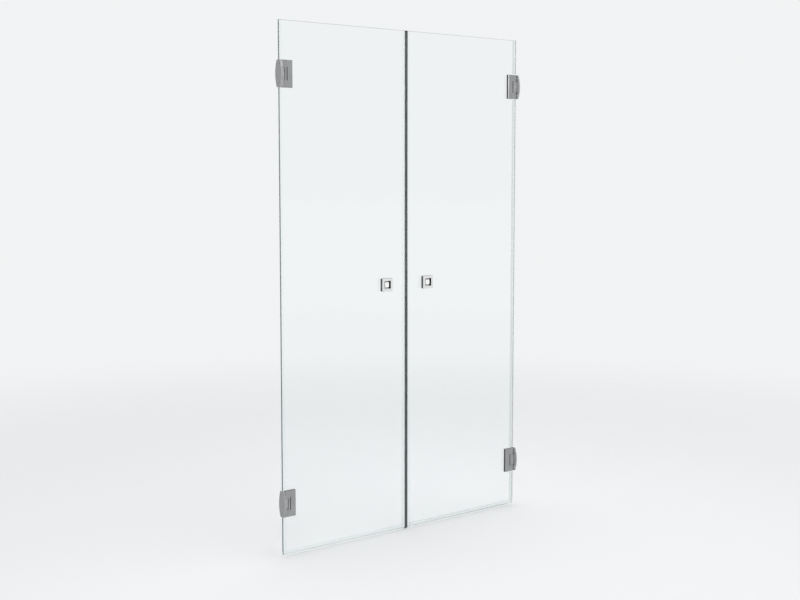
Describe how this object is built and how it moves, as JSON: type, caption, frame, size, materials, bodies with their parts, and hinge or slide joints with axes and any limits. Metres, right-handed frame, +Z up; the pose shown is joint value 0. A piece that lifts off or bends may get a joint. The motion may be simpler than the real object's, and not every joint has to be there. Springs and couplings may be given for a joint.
{
  "type": "shower screen",
  "caption": "Frameless clear glass shower screen for a niche: hinged doors on satin wall hinges, square pulls with a recess, and a magnet seam where the doors meet.",
  "frame": {"origin": "on the floor, midway between the niche walls, in the plane of the hinge pins", "axes": "+X along the doors to the right seen from outside, +Y into the shower, +Z up"},
  "size_m": [1.2, 0.04, 2],
  "materials": {
    "clear_glass": "clear toughened glass, polished edges with a faint green tint",
    "hinge_metal": "satin nickel, fine vertical brushing",
    "knob_metal": "bright satin metal",
    "cast_base": "die cast, lightly blasted",
    "steel_hardware": "stainless steel, turned",
    "magnet": "dark grey magnet strip",
    "clear_seal": "clear soft plastic profile",
    "nylon": "natural nylon",
    "gasket_rubber": "thin grey pad"
  },
  "bodies": {
    "root": {"upper_left_wall_plate": "hinge_metal", "upper_left_pivot_pin": "steel_hardware", "upper_left_pin_screws": "steel_hardware", "lower_left_wall_plate": "hinge_metal", "lower_left_pivot_pin": "steel_hardware", "lower_left_pin_screws": "steel_hardware", "upper_right_wall_plate": "hinge_metal", "upper_right_pivot_pin": "steel_hardware", "upper_right_pin_screws": "steel_hardware", "lower_right_wall_plate": "hinge_metal", "lower_right_pivot_pin": "steel_hardware", "lower_right_pin_screws": "steel_hardware"},
    "left_door": {"upper_left_bushes": "nylon", "upper_left_hinge_base": "cast_base", "upper_left_hinge_cover": "hinge_metal", "upper_left_hinge_gasket": "gasket_rubber", "upper_left_hinge_screws": "steel_hardware", "upper_left_hinge_cones": "nylon", "lower_left_bushes": "nylon", "lower_left_hinge_base": "cast_base", "lower_left_hinge_cover": "hinge_metal", "lower_left_hinge_gasket": "gasket_rubber", "lower_left_hinge_screws": "steel_hardware", "lower_left_hinge_cones": "nylon", "left_glass_pane": "clear_glass", "left_magnet_carrier": "clear_seal", "left_magnet_strip": "magnet", "left_bottom_seal": "clear_seal", "left_wall_seal": "clear_seal", "left_knob": "knob_metal", "left_knob_cap": "knob_metal", "left_knob_pad": "gasket_rubber", "left_knob_screw": "steel_hardware", "left_knob_cone": "nylon"},
    "right_door": {"upper_right_bushes": "nylon", "upper_right_hinge_base": "cast_base", "upper_right_hinge_cover": "hinge_metal", "upper_right_hinge_gasket": "gasket_rubber", "upper_right_hinge_screws": "steel_hardware", "upper_right_hinge_cones": "nylon", "lower_right_bushes": "nylon", "lower_right_hinge_base": "cast_base", "lower_right_hinge_cover": "hinge_metal", "lower_right_hinge_gasket": "gasket_rubber", "lower_right_hinge_screws": "steel_hardware", "lower_right_hinge_cones": "nylon", "right_glass_pane": "clear_glass", "right_magnet_carrier": "clear_seal", "right_magnet_strip": "magnet", "right_bottom_seal": "clear_seal", "right_wall_seal": "clear_seal", "right_knob": "knob_metal", "right_knob_cap": "knob_metal", "right_knob_pad": "gasket_rubber", "right_knob_screw": "steel_hardware", "right_knob_cone": "nylon"}
  },
  "joints": [
    {"name": "left_door_swing", "type": "hinge", "parent": "root", "child": "left_door", "pos_m": [-0.584, 0, 1.005], "axis": [0, 0, -1], "range_deg": [0, 90]},
    {"name": "right_door_swing", "type": "hinge", "parent": "root", "child": "right_door", "pos_m": [0.584, 0, 1.005], "axis": [0, 0, 1], "range_deg": [0, 90]}
  ]
}
